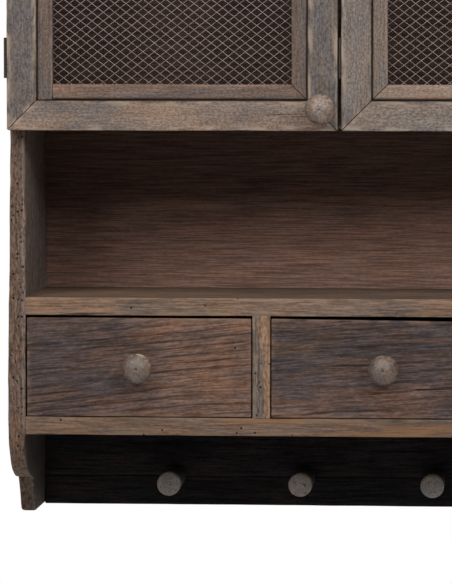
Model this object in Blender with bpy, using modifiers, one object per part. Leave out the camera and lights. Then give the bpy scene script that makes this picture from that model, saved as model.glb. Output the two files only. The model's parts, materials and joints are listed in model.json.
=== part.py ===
"""Rustic wooden wall cabinet: three wire-net doors, an open niche, four drawers and a rail of pegs.

+X runs to the right, +Y into the wall and +Z up. The origin lies on the back panel's rear face,
where the wall holds the cabinet. Inside the script, heights are measured up from the lowest edge.
"""

import math

import bmesh
import bpy
from mathutils import Matrix, Vector

# Carcass, in metres
WIDTH = 0.995
CARCASS_DEPTH = 0.180
SIDE_THICKNESS = 0.016
SHELF_THICKNESS = 0.018
BACK_THICKNESS = 0.010
TOP_THICKNESS = 0.022
TOP_SIDE_OVERHANG = 0.015
TOP_FRONT_OVERHANG = 0.012
PARTITION_THICKNESS = 0.018
HANG_HEIGHT = 0.800

# Clear heights of the storeys, from the bottom up
PEG_ZONE_HEIGHT = 0.087
DRAWER_BAY_HEIGHT = 0.1018
NICHE_HEIGHT = 0.1692
CABINET_INSIDE_HEIGHT = 0.483

# Gap between pieces that touch on the real cabinet
FIT = 0.0003

# Feet of the side boards: a rounded front corner, then a short leg that stands back
FOOT_CURVE_DEPTH = 0.067
FOOT_CURVE_HEIGHT = 0.045
FOOT_CURVE_BELOW_FLOOR = 0.004
FOOT_LEG_LEAN = 0.023
FOOT_TOE_CHAMFER = 0.004
FOOT_CURVE_POINTS = 10

# Doors
DOOR_COUNT = 3
DOOR_GAP = 0.0034
DOOR_THICKNESS = 0.020
DOOR_BOTTOM_OVERLAP = 0.002
DOOR_TOP_GAP = 0.003
FRAME_MEMBER_WIDTH = 0.030
LIP_WIDTH = 0.016
LIP_RECESS = 0.0035
LIP_THICKNESS = 0.008

# Wire net in each door
NET_THICKNESS = 0.0015
NET_WIRE = 0.002
NET_COLUMNS = 5
NET_ROWS = 8

# Hinges
HINGE_HEIGHT = 0.040
HINGE_INSET = 0.052
HINGE_LEAF_THICKNESS = 0.001
HINGE_WEB_THICKNESS = 0.0007
HINGE_STRIP_OVERLAP = 0.0006
HINGE_FLANGE_REACH = 0.008
HINGE_DOOR_LEAF_DEPTH = 0.014
HINGE_AXIS_SETBACK = 0.0006
KNUCKLE_RADIUS = 0.0011
PIN_RADIUS = 0.0005
KNUCKLE_POINTS = 12

# Drawers
DRAWER_COUNT = 4
DIVIDER_THICKNESS = 0.018
DRAWER_SIDE_GAP = 0.0011
DRAWER_TOP_GAP = 0.0022
DRAWER_BOTTOM_GAP = 0.0006
DRAWER_FRONT_THICKNESS = 0.014
TRAY_WALL = 0.008
TRAY_HEIGHT = 0.075
TRAY_SIDE_GAP = 0.003
TRAY_BACK_GAP = 0.004

# Turned knobs
KNOB_RADIUS = 0.015
KNOB_LENGTH = 0.030
KNOB_HEAD_LENGTH = 0.017
KNOB_DOME_HEIGHT = 0.0094
KNOB_UNDERCUT_RADIUS = 0.0132
KNOB_UNDERCUT_HEIGHT = 0.002
KNOB_NECK_RADIUS = 0.0075
KNOB_BASE_RADIUS = 0.0105
KNOB_BASE_LENGTH = 0.004
KNOB_DOME_POINTS = 5
DOOR_KNOB_FROM_EDGE = 0.0165
DOOR_KNOB_FROM_BOTTOM = 0.022

# Peg rail and pegs
RAIL_THICKNESS = 0.020
PEG_COUNT = 6
PEG_PITCH = 0.134
PEG_FROM_SIDE = 0.136
PEG_HEIGHT = 0.030
PEG_LENGTH = 0.083
PEG_BASE_RADIUS = 0.010
PEG_TIP_RADIUS = 0.012
PEG_TIP_ROUND = 0.002
TENON_RADIUS = 0.007
TENON_LENGTH = 0.015
TURNED_STEPS = 18

# Heights and widths that follow from the sizes above
inner_width = WIDTH - 2 * SIDE_THICKNESS
drawer_floor_bottom = PEG_ZONE_HEIGHT
drawer_floor_top = drawer_floor_bottom + SHELF_THICKNESS
niche_shelf_bottom = drawer_floor_top + DRAWER_BAY_HEIGHT
niche_shelf_top = niche_shelf_bottom + SHELF_THICKNESS
cabinet_floor_bottom = niche_shelf_top + NICHE_HEIGHT
cabinet_floor_top = cabinet_floor_bottom + SHELF_THICKNESS
top_board_bottom = cabinet_floor_top + CABINET_INSIDE_HEIGHT
board_half_width = inner_width / 2 - FIT
board_back = -BACK_THICKNESS - FIT

door_standoff = HINGE_LEAF_THICKNESS + 2 * FIT
door_bottom = cabinet_floor_bottom - DOOR_BOTTOM_OVERLAP
door_height = top_board_bottom - DOOR_TOP_GAP - door_bottom
door_width = (WIDTH - (DOOR_COUNT - 1) * DOOR_GAP) / DOOR_COUNT
door_pitch = door_width + DOOR_GAP
door_front = -CARCASS_DEPTH - door_standoff - DOOR_THICKNESS
hinge_axis_offset = KNUCKLE_RADIUS + FIT

bay_width = (inner_width - (DRAWER_COUNT - 1) * DIVIDER_THICKNESS) / DRAWER_COUNT
bay_pitch = bay_width + DIVIDER_THICKNESS
drawer_width = bay_width - 2 * DRAWER_SIDE_GAP
drawer_height = DRAWER_BAY_HEIGHT - DRAWER_TOP_GAP - DRAWER_BOTTOM_GAP

ALONG_X = Matrix(((0, 0, 1, 0), (1, 0, 0, 0), (0, 1, 0, 0), (0, 0, 0, 1)))
MEMBER_TURN = Matrix(((0, 0, -1, 0), (0, 1, 0, 0), (1, 0, 0, 0), (0, 0, 0, 1)))
FACING_FRONT = (math.pi / 2, 0, 0)


# Scene and helpers

def clear_scene():
    for old in list(bpy.data.objects):
        bpy.data.objects.remove(old, do_unlink=True)


def new_collection(name):
    collection = bpy.data.collections.new(name)
    bpy.context.scene.collection.children.link(collection)
    return collection


def new_material(name, colour, roughness, metallic=0.0):
    material = bpy.data.materials.new(name)
    material.use_nodes = True
    shader = material.node_tree.nodes["Principled BSDF"]
    shader.inputs["Base Color"].default_value = (*colour, 1.0)
    shader.inputs["Roughness"].default_value = roughness
    shader.inputs["Metallic"].default_value = metallic
    return material


def new_empty(name, location, parent=None):
    empty = bpy.data.objects.new(name, None)
    parts.objects.link(empty)
    empty.parent = parent
    empty.location = location
    return empty


def add_part(name, mesh, material, parent, location, rotation=(0, 0, 0)):
    if not mesh.materials:
        mesh.materials.append(material)
    piece = bpy.data.objects.new(name, mesh)
    parts.objects.link(piece)
    piece.parent = parent
    piece.location = location
    piece.rotation_euler = rotation
    return piece


def box_mesh(name, size):
    mesh = bpy.data.meshes.new(name)
    shape = bmesh.new()
    bmesh.ops.create_cube(shape, size=1.0)
    bmesh.ops.scale(shape, vec=size, verts=shape.verts)
    shape.to_mesh(mesh)
    shape.free()
    return mesh


def board(name, low, high, material, parent):
    size = Vector(high) - Vector(low)
    centre = (Vector(high) + Vector(low)) / 2
    return add_part(name, box_mesh(name, size), material, parent, centre)


def extruded_mesh(name, outlines, thickness, turn=Matrix.Identity(4)):
    """A flat outline, with any further outlines as holes, made a solid and turned into place."""
    curve = bpy.data.curves.new(name, "CURVE")
    curve.dimensions = "2D"
    curve.fill_mode = "BOTH"
    curve.extrude = thickness / 2
    for outline in outlines:
        spline = curve.splines.new("POLY")
        spline.points.add(len(outline) - 1)
        for point, (across, up) in zip(spline.points, outline):
            point.co = (across, up, 0.0, 1.0)
        spline.use_cyclic_u = True
    sketch = bpy.data.objects.new(name, curve)
    parts.objects.link(sketch)
    mesh = evaluated_mesh(sketch)
    mesh.name = name
    bpy.data.objects.remove(sketch, do_unlink=True)
    shape = bmesh.new()
    shape.from_mesh(mesh)
    bmesh.ops.remove_doubles(shape, verts=shape.verts, dist=1e-6)
    bmesh.ops.transform(shape, matrix=turn, verts=shape.verts)
    bmesh.ops.recalc_face_normals(shape, faces=shape.faces)
    shape.to_mesh(mesh)
    shape.free()
    mesh.materials.clear()
    return mesh


def evaluated_mesh(piece):
    bpy.context.view_layer.update()
    graph = bpy.context.evaluated_depsgraph_get()
    return bpy.data.meshes.new_from_object(piece.evaluated_get(graph))


def union_mesh(name, meshes, offsets):
    """One body from overlapping meshes, each shifted up by its offset."""
    pieces = []
    for number, (mesh, offset) in enumerate(zip(meshes, offsets)):
        piece = bpy.data.objects.new(f"{name}_{number}", mesh)
        piece.location = (0, 0, offset)
        parts.objects.link(piece)
        pieces.append(piece)
    for other in pieces[1:]:
        union = pieces[0].modifiers.new("union", "BOOLEAN")
        union.operation = "UNION"
        union.object = other
    mesh = evaluated_mesh(pieces[0])
    mesh.name = name
    for piece in pieces:
        bpy.data.objects.remove(piece, do_unlink=True)
    mesh.shade_smooth()
    mesh.set_sharp_from_angle(angle=math.radians(40))
    return mesh


def cylinder_mesh(name, radius, length, segments):
    mesh = bpy.data.meshes.new(name)
    shape = bmesh.new()
    bmesh.ops.create_cone(
        shape, cap_ends=True, segments=segments, radius1=radius, radius2=radius, depth=length
    )
    shape.to_mesh(mesh)
    shape.free()
    return mesh


def turned_part(name, mesh, material, parent, location):
    """A profile at +X, spun about its own Z axis, which then points out to the front."""
    piece = add_part(name, mesh, material, parent, location, FACING_FRONT)
    spin = piece.modifiers.new("turn", "SCREW")
    spin.axis = "Z"
    spin.steps = TURNED_STEPS
    spin.render_steps = TURNED_STEPS
    spin.use_merge_vertices = True
    spin.merge_threshold = 0.00001
    return piece


def profile_mesh(name, points):
    mesh = bpy.data.meshes.new(name)
    corners = [(radius, 0.0, height) for radius, height in points]
    edges = [(number, number + 1) for number in range(len(points) - 1)]
    mesh.from_pydata(corners, edges, [])
    return mesh


# Carcass

def side_outline():
    """The side board seen from its side, as points of depth, negative in front of the wall, and height."""
    curve_top = PEG_ZONE_HEIGHT - FOOT_CURVE_BELOW_FLOOR
    curve_bottom = curve_top - FOOT_CURVE_HEIGHT
    toe = FOOT_CURVE_DEPTH + FOOT_LEG_LEAN
    board_top = top_board_bottom - FIT
    outline = [(0.0, board_top), (0.0, 0.0), (toe + FOOT_TOE_CHAMFER - CARCASS_DEPTH, 0.0)]
    outline.append((toe - CARCASS_DEPTH, FOOT_TOE_CHAMFER))
    for number in range(FOOT_CURVE_POINTS + 1):
        angle = math.pi / 2 * (1 - number / FOOT_CURVE_POINTS)
        recess = FOOT_CURVE_DEPTH * (1 - math.cos(angle))
        outline.append((recess - CARCASS_DEPTH, curve_top - FOOT_CURVE_HEIGHT * math.sin(angle)))
    outline.append((-CARCASS_DEPTH, board_top))
    return outline


def make_carcass():
    side_mesh = extruded_mesh("side_board", [side_outline()], SIDE_THICKNESS, ALONG_X)
    side_centre = WIDTH / 2 - SIDE_THICKNESS / 2
    add_part("left_side", side_mesh, carcass_wood, base, (-side_centre, 0, 0))
    add_part("right_side", side_mesh, carcass_wood, base, (side_centre, 0, 0))
    top_half = WIDTH / 2 + TOP_SIDE_OVERHANG
    top_low = (-top_half, door_front - TOP_FRONT_OVERHANG, top_board_bottom)
    board("top_board", top_low, (top_half, 0, top_board_bottom + TOP_THICKNESS), carcass_wood, base)
    shelves = (
        ("drawer_floor", drawer_floor_bottom),
        ("niche_shelf", niche_shelf_bottom),
        ("cabinet_floor", cabinet_floor_bottom),
    )
    for name, height in shelves:
        low = (-board_half_width, -CARCASS_DEPTH, height)
        high = (board_half_width, board_back, height + SHELF_THICKNESS)
        board(name, low, high, shelf_wood, base)
    back_low = (-board_half_width, -BACK_THICKNESS, drawer_floor_bottom)
    board("back_panel", back_low, (board_half_width, 0, top_board_bottom - FIT), back_wood, base)
    partition_left = -WIDTH / 2 + door_width + DOOR_GAP / 2 - PARTITION_THICKNESS / 2
    partition_low = (partition_left, -CARCASS_DEPTH, cabinet_floor_top + FIT)
    partition_high = (partition_left + PARTITION_THICKNESS, board_back, top_board_bottom - FIT)
    board("partition", partition_low, partition_high, carcass_wood, base)
    for number in range(1, DRAWER_COUNT):
        left = -inner_width / 2 + number * bay_pitch - DIVIDER_THICKNESS
        low = (left, -CARCASS_DEPTH, drawer_floor_top + FIT)
        high = (left + DIVIDER_THICKNESS, board_back, niche_shelf_bottom - FIT)
        board(f"drawer_divider_{number}", low, high, shelf_wood, base)


# Peg rail

def peg_places():
    first = PEG_FROM_SIDE - inner_width / 2
    left_half = [first + number * PEG_PITCH for number in range(PEG_COUNT // 2)]
    return left_half + [-place for place in reversed(left_half)]


def make_peg_rail():
    rail_low = (-board_half_width, -RAIL_THICKNESS, 0)
    rail = board("peg_rail", rail_low, (board_half_width, 0, PEG_ZONE_HEIGHT - FIT), rail_wood, base)
    hole_depth = TENON_LENGTH + FIT
    profile = [
        (0.0, PEG_LENGTH),
        (PEG_TIP_RADIUS - PEG_TIP_ROUND, PEG_LENGTH),
        (PEG_TIP_RADIUS, PEG_LENGTH - PEG_TIP_ROUND),
        (PEG_BASE_RADIUS, FIT),
        (TENON_RADIUS, FIT),
        (TENON_RADIUS, -TENON_LENGTH),
        (0.0, -TENON_LENGTH),
    ]
    peg_mesh = profile_mesh("peg", profile)
    for number, place in enumerate(peg_places(), start=1):
        seat = (place, -RAIL_THICKNESS, PEG_HEIGHT)
        turned_part(f"peg_{number}", peg_mesh, knob_wood, base, seat)
        drill_mesh = cylinder_mesh("peg_hole", TENON_RADIUS + FIT, 2 * hole_depth, TURNED_STEPS)
        drill = bpy.data.objects.new(f"peg_hole_{number}", drill_mesh)
        cutters.objects.link(drill)
        drill.parent = base
        drill.location = seat
        drill.rotation_euler = FACING_FRONT
        drill.hide_render = True
        drill.display_type = "WIRE"
        hole = rail.modifiers.new("peg_hole", "BOOLEAN")
        hole.operation = "DIFFERENCE"
        hole.object = drill


# Knobs

def knob_profile():
    """A domed head, a waist and a small foot, from the crown down to the seat."""
    head_start = KNOB_LENGTH - KNOB_HEAD_LENGTH
    rim = KNOB_LENGTH - KNOB_DOME_HEIGHT
    profile = []
    for number in range(KNOB_DOME_POINTS + 1):
        angle = math.pi / 2 * number / KNOB_DOME_POINTS
        profile.append((KNOB_RADIUS * math.sin(angle), rim + KNOB_DOME_HEIGHT * math.cos(angle)))
    profile.append((KNOB_UNDERCUT_RADIUS, head_start + KNOB_UNDERCUT_HEIGHT))
    profile.append((KNOB_NECK_RADIUS, head_start))
    profile.append((KNOB_NECK_RADIUS, KNOB_BASE_LENGTH + FIT))
    profile.append((KNOB_BASE_RADIUS, FIT))
    profile.append((0.0, FIT))
    return profile


# Hinges

def keyhole_outline(side):
    """A knuckle with a short strip that leads back to its leaf, on the side given by -1 or +1."""
    strip_end = KNUCKLE_RADIUS + FIT + HINGE_STRIP_OVERLAP
    start = math.pi
    stop = 3 * math.pi - math.acos(1 - HINGE_WEB_THICKNESS / KNUCKLE_RADIUS)
    outline = [(side * -KNUCKLE_RADIUS, strip_end)]
    for number in range(KNUCKLE_POINTS + 1):
        angle = start + (stop - start) * number / KNUCKLE_POINTS
        outline.append((side * KNUCKLE_RADIUS * math.cos(angle), KNUCKLE_RADIUS * math.sin(angle)))
    outline.append((side * (HINGE_WEB_THICKNESS - KNUCKLE_RADIUS), strip_end))
    return outline


def bore_outline():
    radius = PIN_RADIUS + FIT
    angles = [2 * math.pi * number / KNUCKLE_POINTS for number in range(KNUCKLE_POINTS)]
    return [(radius * math.cos(angle), radius * math.sin(angle)) for angle in angles]


def frame_leaf_mesh(name, hand):
    """An angle plate on the carcass edge, with the outer knuckles and the pin."""
    knuckle = HINGE_HEIGHT / 3
    web_start = KNUCKLE_RADIUS + FIT
    flange_start = DOOR_THICKNESS - HINGE_AXIS_SETBACK + FIT
    flange_end = flange_start + HINGE_LEAF_THICKNESS
    corners = [
        (-KNUCKLE_RADIUS, web_start),
        (HINGE_WEB_THICKNESS - KNUCKLE_RADIUS, web_start),
        (HINGE_WEB_THICKNESS - KNUCKLE_RADIUS, flange_start),
        (HINGE_FLANGE_REACH, flange_start),
        (HINGE_FLANGE_REACH, flange_end),
        (-KNUCKLE_RADIUS, flange_end),
    ]
    angle_plate = [(hand * across, back) for across, back in corners]
    meshes = [
        extruded_mesh(name, [angle_plate], HINGE_HEIGHT),
        extruded_mesh(name, [keyhole_outline(hand)], knuckle),
        extruded_mesh(name, [keyhole_outline(hand)], knuckle),
        cylinder_mesh(name, PIN_RADIUS, 2 * knuckle, KNUCKLE_POINTS),
    ]
    return union_mesh(name, meshes, (0, -knuckle, knuckle, 0))


def door_leaf_mesh(name, hand):
    """A plate on the door's edge, with the middle knuckle that turns on the pin."""
    knuckle = HINGE_HEIGHT / 3 - 2 * FIT
    web_start = KNUCKLE_RADIUS + FIT
    outer = hand * KNUCKLE_RADIUS
    inner = hand * (KNUCKLE_RADIUS - HINGE_WEB_THICKNESS)
    plate = [
        (outer, web_start),
        (outer, HINGE_DOOR_LEAF_DEPTH),
        (inner, HINGE_DOOR_LEAF_DEPTH),
        (inner, web_start),
    ]
    meshes = [
        extruded_mesh(name, [plate], HINGE_HEIGHT),
        extruded_mesh(name, [keyhole_outline(-hand), bore_outline()], knuckle),
    ]
    return union_mesh(name, meshes, (0, 0))


# Doors

def frame_member_mesh(name, length):
    """One frame member: full stock outside, a recessed lip inside, mitred at both ends."""
    lip_back = LIP_RECESS + LIP_THICKNESS
    section = [
        (0, 0),
        (FRAME_MEMBER_WIDTH, 0),
        (FRAME_MEMBER_WIDTH, LIP_RECESS),
        (FRAME_MEMBER_WIDTH + LIP_WIDTH, LIP_RECESS),
        (FRAME_MEMBER_WIDTH + LIP_WIDTH, lip_back),
        (FRAME_MEMBER_WIDTH, lip_back),
        (FRAME_MEMBER_WIDTH, DOOR_THICKNESS),
        (0, DOOR_THICKNESS),
    ]
    mesh = extruded_mesh(name, [section], length, MEMBER_TURN)
    shape = bmesh.new()
    shape.from_mesh(mesh)
    mitre_end = length / 2 - FIT / math.sqrt(2)
    for end in (-1, 1):
        everything = shape.verts[:] + shape.edges[:] + shape.faces[:]
        bmesh.ops.bisect_plane(
            shape, geom=everything, plane_co=(end * mitre_end, 0, 0), plane_no=(end, 0, 1), clear_outer=True
        )
        rim = [edge for edge in shape.edges if edge.is_boundary]
        bmesh.ops.edgeloop_fill(shape, edges=rim)
    bmesh.ops.recalc_face_normals(shape, faces=shape.faces)
    shape.to_mesh(mesh)
    shape.free()
    return mesh


def net_outlines():
    """The net's rim, then its diamond gaps; those on the edge are cut off by the opening."""
    rim_x = door_width / 2 - FRAME_MEMBER_WIDTH - FIT
    rim_z = door_height / 2 - FRAME_MEMBER_WIDTH - FIT
    opening = (rim_x + FIT - LIP_WIDTH, rim_z + FIT - LIP_WIDTH)
    half_pitch = (opening[0] / NET_COLUMNS, opening[1] / NET_ROWS)
    wire_share = NET_WIRE / 2 * math.hypot(1 / half_pitch[0], 1 / half_pitch[1])
    reach = (half_pitch[0] * (1 - wire_share), half_pitch[1] * (1 - wire_share))
    outlines = [[(-rim_x, -rim_z), (rim_x, -rim_z), (rim_x, rim_z), (-rim_x, rim_z)]]
    for column in range(2 * NET_COLUMNS + 1):
        for row in range(2 * NET_ROWS + 1):
            if column % 2 == row % 2:
                centre = (column * half_pitch[0] - opening[0], row * half_pitch[1] - opening[1])
                outlines.append(net_gap(centre, reach, opening))
    return outlines


def net_gap(centre, reach, opening):
    corners = []
    for step_x, step_z in ((1, 0), (0, 1), (-1, 0), (0, -1)):
        x = min(max(centre[0] + step_x * reach[0], -opening[0]), opening[0])
        z = min(max(centre[1] + step_z * reach[1], -opening[1]), opening[1])
        if (x, z) not in corners:
            corners.append((x, z))
    return corners


def make_door(number, hand):
    """A door with its hinges on the left for hand +1, on the right for hand -1."""
    left = -WIDTH / 2 + (number - 1) * door_pitch
    hinged_edge = left if hand > 0 else left + door_width
    axis = (hinged_edge - hand * hinge_axis_offset, door_front + HINGE_AXIS_SETBACK, door_bottom)
    swing = new_empty(f"door_{number}_axis", axis, base)
    middle = hand * (hinge_axis_offset + door_width / 2)
    front = -HINGE_AXIS_SETBACK
    quarter = math.pi / 2
    members = (
        ("bottom_rail", rail_mesh, (middle, front, 0), 0),
        ("top_rail", rail_mesh, (middle, front, door_height), 2 * quarter),
        ("left_stile", stile_mesh, (middle - door_width / 2, front, door_height / 2), quarter),
        ("right_stile", stile_mesh, (middle + door_width / 2, front, door_height / 2), -quarter),
    )
    for name, mesh, place, turn in members:
        add_part(f"door_{number}_{name}", mesh, door_wood, swing, place, (0, turn, 0))
    net_depth = front + LIP_RECESS + LIP_THICKNESS + FIT + NET_THICKNESS / 2
    net_place = (middle, net_depth, door_height / 2)
    add_part(f"door_{number}_net", net_mesh, wire_metal, swing, net_place, FACING_FRONT)
    knob_x = middle + hand * (door_width / 2 - DOOR_KNOB_FROM_EDGE)
    knob_place = (knob_x, front, DOOR_KNOB_FROM_BOTTOM)
    turned_part(f"door_{number}_knob", knob_mesh, knob_wood, swing, knob_place)
    leaf_pair = hinge_meshes[hand]
    heights = {
        "lower": HINGE_INSET + HINGE_HEIGHT / 2,
        "upper": door_height - HINGE_INSET - HINGE_HEIGHT / 2,
    }
    for level, height in heights.items():
        fixed_place = Vector(axis) + Vector((0, 0, height))
        add_part(f"door_{number}_{level}_hinge_frame_leaf", leaf_pair[0], hinge_metal, base, fixed_place)
        add_part(f"door_{number}_{level}_hinge_door_leaf", leaf_pair[1], hinge_metal, swing, (0, 0, height))


# Drawers

def tray_mesh():
    """The drawer box as an open-topped surface, which gets its wall from Solidify."""
    size_x = bay_width - 2 * TRAY_SIDE_GAP
    size_y = CARCASS_DEPTH - DRAWER_FRONT_THICKNESS - FIT - BACK_THICKNESS - TRAY_BACK_GAP
    mesh = box_mesh("tray", (size_x, size_y, TRAY_HEIGHT))
    shape = bmesh.new()
    shape.from_mesh(mesh)
    lid = [face for face in shape.faces if face.normal.z > 0.5]
    bmesh.ops.delete(shape, geom=lid, context="FACES_ONLY")
    shape.to_mesh(mesh)
    shape.free()
    return mesh, size_y


def make_drawers():
    mesh, tray_length = tray_mesh()
    for number in range(1, DRAWER_COUNT + 1):
        middle = -inner_width / 2 + bay_width / 2 + (number - 1) * bay_pitch
        seat = (middle, -CARCASS_DEPTH, drawer_floor_top + DRAWER_BOTTOM_GAP)
        slide = new_empty(f"drawer_{number}_slide", seat, base)
        front_low = (-drawer_width / 2, 0, 0)
        front_high = (drawer_width / 2, DRAWER_FRONT_THICKNESS, drawer_height)
        board(f"drawer_{number}_front", front_low, front_high, drawer_wood, slide)
        tray_place = (
            0,
            DRAWER_FRONT_THICKNESS + FIT + tray_length / 2,
            FIT - DRAWER_BOTTOM_GAP + TRAY_HEIGHT / 2,
        )
        tray = add_part(f"drawer_{number}_tray", mesh, tray_wood, slide, tray_place)
        wall = tray.modifiers.new("wall", "SOLIDIFY")
        wall.thickness = TRAY_WALL
        wall.offset = -1.0
        wall.use_even_offset = True
        turned_part(f"drawer_{number}_knob", knob_mesh, knob_wood, slide, (0, 0, drawer_height / 2))


clear_scene()
parts = new_collection("wall_cabinet")
cutters = new_collection("wall_cabinet_cutters")
base = new_empty("cabinet_base", (0, 0, -HANG_HEIGHT))

carcass_wood = new_material("carcass_wood", (0.115, 0.075, 0.052), 0.75)
shelf_wood = new_material("shelf_wood", (0.125, 0.082, 0.056), 0.75)
back_wood = new_material("back_wood", (0.075, 0.045, 0.032), 0.75)
rail_wood = new_material("rail_wood", (0.012, 0.010, 0.009), 0.80)
door_wood = new_material("door_wood", (0.130, 0.098, 0.076), 0.75)
drawer_wood = new_material("drawer_wood", (0.090, 0.058, 0.043), 0.75)
tray_wood = new_material("tray_wood", (0.300, 0.210, 0.130), 0.80)
knob_wood = new_material("knob_wood", (0.150, 0.115, 0.090), 0.65)
wire_metal = new_material("wire_metal", (0.200, 0.160, 0.130), 0.55, 0.6)
hinge_metal = new_material("hinge_metal", (0.020, 0.018, 0.016), 0.55, 0.8)

rail_mesh = frame_member_mesh("door_rail", door_width)
stile_mesh = frame_member_mesh("door_stile", door_height)
net_mesh = extruded_mesh("door_net", net_outlines(), NET_THICKNESS)
knob_mesh = profile_mesh("knob", knob_profile())
hinge_meshes = {
    hand: (frame_leaf_mesh("hinge_frame_leaf", hand), door_leaf_mesh("hinge_door_leaf", hand))
    for hand in (1, -1)
}

make_carcass()
make_peg_rail()
make_door(1, hand=1)
make_door(2, hand=1)
make_door(3, hand=-1)
make_drawers()
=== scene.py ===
"""The looks of a rustic wooden wall cabinet: weathered boards, turned knobs and pegs, woven wire nets."""

import json
import math

import bpy
import numpy as np
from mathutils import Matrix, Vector, noise


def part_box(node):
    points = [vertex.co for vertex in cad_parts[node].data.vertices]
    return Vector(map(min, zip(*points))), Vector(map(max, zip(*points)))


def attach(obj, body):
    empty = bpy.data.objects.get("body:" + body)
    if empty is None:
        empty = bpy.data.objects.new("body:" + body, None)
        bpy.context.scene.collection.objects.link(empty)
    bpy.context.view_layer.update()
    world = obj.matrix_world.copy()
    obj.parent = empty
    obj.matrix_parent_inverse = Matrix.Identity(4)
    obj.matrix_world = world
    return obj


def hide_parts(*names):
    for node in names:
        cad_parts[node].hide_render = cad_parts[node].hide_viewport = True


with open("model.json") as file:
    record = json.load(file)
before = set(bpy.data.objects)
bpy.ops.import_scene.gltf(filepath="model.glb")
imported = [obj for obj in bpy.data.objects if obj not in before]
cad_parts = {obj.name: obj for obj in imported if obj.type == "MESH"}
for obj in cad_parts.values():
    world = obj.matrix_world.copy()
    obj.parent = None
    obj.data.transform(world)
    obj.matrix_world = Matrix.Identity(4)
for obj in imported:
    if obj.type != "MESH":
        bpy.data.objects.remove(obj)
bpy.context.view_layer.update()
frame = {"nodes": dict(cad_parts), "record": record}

# Camera, in metres; heights are measured up from the cabinet's lowest edge
CAMERA_X = 0.108
CAMERA_DISTANCE = 4.607
CAMERA_HEIGHT = 0.529
AIM_X = -0.2804
AIM_HEIGHT = 0.231
LENS_MM = 286.7

# Stage and lamps
FLOOR_DROP = 1.00
FLOOR_FADE = (1.0, 2.7)
FLOOR_SIZE = 6.0
WORLD_STRENGTH = 0.14
KEY_AZIMUTH = -30.0
KEY_ELEVATION = 28.0
KEY_DISTANCE = 2.6
KEY_SIZE = 0.8
KEY_POWER = 31.0
FILL_AZIMUTH = 34.0
FILL_POWER = 32.0
TOP_ELEVATION = 62.0
TOP_POWER = 34.0
SIDE_SIZE = 1.5
SIDE_PLACE = (2.8, 1.3, 0.8)
SIDE_POWER = 60.0
BACK_PLACE = (0.0, 3.0, 0.9)
BACK_POWER = 36.0
LIT_X = -0.25
LIT_HEIGHT = 0.30
MIDDLE_HEIGHT = 0.45
FLOOR_COLOUR = (0.86, 0.86, 0.85, 1.0)

# How boards are worn
ARC_STEPS = 3
END_STEPS = 3
FACE_STEP = 0.030
ALONG_STEP = 0.007
EDGE_BAND = 0.006
EDGE_PERIOD = 0.030
WOBBLE_PERIOD = 0.075
SHARP_ANGLE = 50.0

# How far each piece's grain is moved from that of the piece before, so that no two look alike
GRAIN_STEP = (0.913, 0.377, 0.541)
HOLE_CELLS = 215.0

# Feet of the side boards, as in the solid
FOOT_CURVE_TOP = 0.083
FOOT_CURVE_DEPTH = 0.067
FOOT_CURVE_HEIGHT = 0.045
FOOT_CURVE_STEPS = 12
FOOT_LEG_LEAN = 0.023

# Outer faces of the side boards, which have swollen a little above the feet
SIDE_SWELL = 0.0026
SWELL_HEIGHT = 0.140
SWELL_REACH = 0.120

# Door frames
MEMBER_WIDTH = 0.030
MITRE_GAP = 0.0003
BEAD_RECESS = 0.0032
BEAD_THICKNESS = 0.0080
BEAD_GROOVE = 0.0006
GRIME_REACH = 0.0028

# Tone of each door's members, from bottom to top or from left to right, and what its bead strips add to it
MEMBER_TONES = {
    1: {
        "left_stile": (-0.19, -0.13), "right_stile": (-0.17, -0.11),
        "bottom_rail": (0.16, 0.06), "top_rail": (0.02, 0.08),
    },
    2: {
        "left_stile": (-0.02, 0.04), "right_stile": (-0.05, 0.01),
        "bottom_rail": (0.06, 0.12), "top_rail": (-0.03, 0.03),
    },
    3: {
        "left_stile": (-0.14, -0.08), "right_stile": (0.02, 0.08),
        "bottom_rail": (0.04, 0.10), "top_rail": (0.00, 0.06),
    },
}
BEAD_TONE = -0.08

# Wire nets
NET_PITCH_X = 0.01132
NET_PITCH_Z = 0.00868
NET_WIRE_RADIUS = 0.00027
NET_WEAVE = 0.00034
NET_BEHIND_BEAD = 0.007
ACROSS_WIRE = (0.6, 0.8)

# Growth lines on the drawers
RING_PITCH = 0.0072
RING_DIRECTION = (0.0, 0.57, 0.82)

# Drawer fronts: tone at the left, tone at the right, and its change from bottom to top
FRONT_TONES = {
    1: (-0.30, 0.10, 0.08),
    2: (0.10, -0.04, -0.40),
    3: (0.04, -0.10, 0.10),
    4: (0.12, -0.08, -0.15),
}

# How much lower the right end of a drawer front's top edge is, and how its grain leans, in degrees
FRONT_DROPS = {1: 0.0002, 2: 0.0026, 3: 0.0004, 4: 0.0008}
FRONT_TILTS = {1: 5.0, 2: 3.0, 3: 1.0, 4: -1.0}

# Trays, the peg rail, and how far a held board reaches into its neighbours
TRAY_WALL = 0.008
TRAY_GAP = 0.0001
RAIL_SEAM = 0.030
JOINT_BITE = 0.0010

# Dirt, tone, painted shade and painted light on the back panel, the niche shelf and the side boards
# Painted shade on the back panel inside the cabinet; its rear is darker in colour
INSIDE_SHADE = 0.68
INSIDE_TONE = 0.40
REAR_GRIME = 0.30
REAR_TONE = 0.60
# Painted light at the bottom of the niche's back panel, and painted shade at its top
NICHE_LIGHT_AND_SHADE = 0.16
# Painted shade in the back corner of the niche shelf's top, and a darker band just behind its front edge
SHELF_BACK_SHADE = 0.60
SHELF_BACK_REACH = 0.060
SHELF_FRONT_DARKENING = 0.52
SHELF_FRONT_START = 0.004
SHELF_FRONT_REACH = 0.080
LOWER_GRIME = 0.33
# Painted shade on the side boards under the drawers: towards the bottom of the foot and on the inner face
FOOT_SHADE = 0.52
FOOT_INNER_SHADE = 0.88
INNER_FACE_REACH = 0.005
# The side boards' inner faces are cooler and paler: partly their own colour, partly painted light
INNER_COOLNESS_AND_LIGHT = 0.70

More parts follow.
